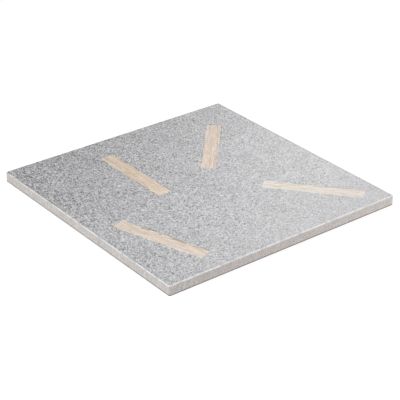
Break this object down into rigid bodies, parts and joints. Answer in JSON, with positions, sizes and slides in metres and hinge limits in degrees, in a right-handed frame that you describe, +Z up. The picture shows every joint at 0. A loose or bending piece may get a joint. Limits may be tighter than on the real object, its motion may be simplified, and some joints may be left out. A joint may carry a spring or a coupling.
{
  "type": "porcelain floor tile",
  "caption": "Square porcelain floor tile with a matt grey stone-look face, scattered wood-look strips, pale unglazed edges and a ribbed back for bedding in adhesive.",
  "frame": {"origin": "middle of the bedding plane, the level of the rim and ribs on the tile's back", "axes": "X and Y along the square's edges, +Z up out of the wear face"},
  "size_m": [0.248, 0.248, 0.0095],
  "materials": {
    "porcelain": "matt printed glaze on the face, bare fired body on the edges and back"
  },
  "bodies": {
    "root": {"porcelain_tile": "porcelain"}
  },
  "joints": []
}
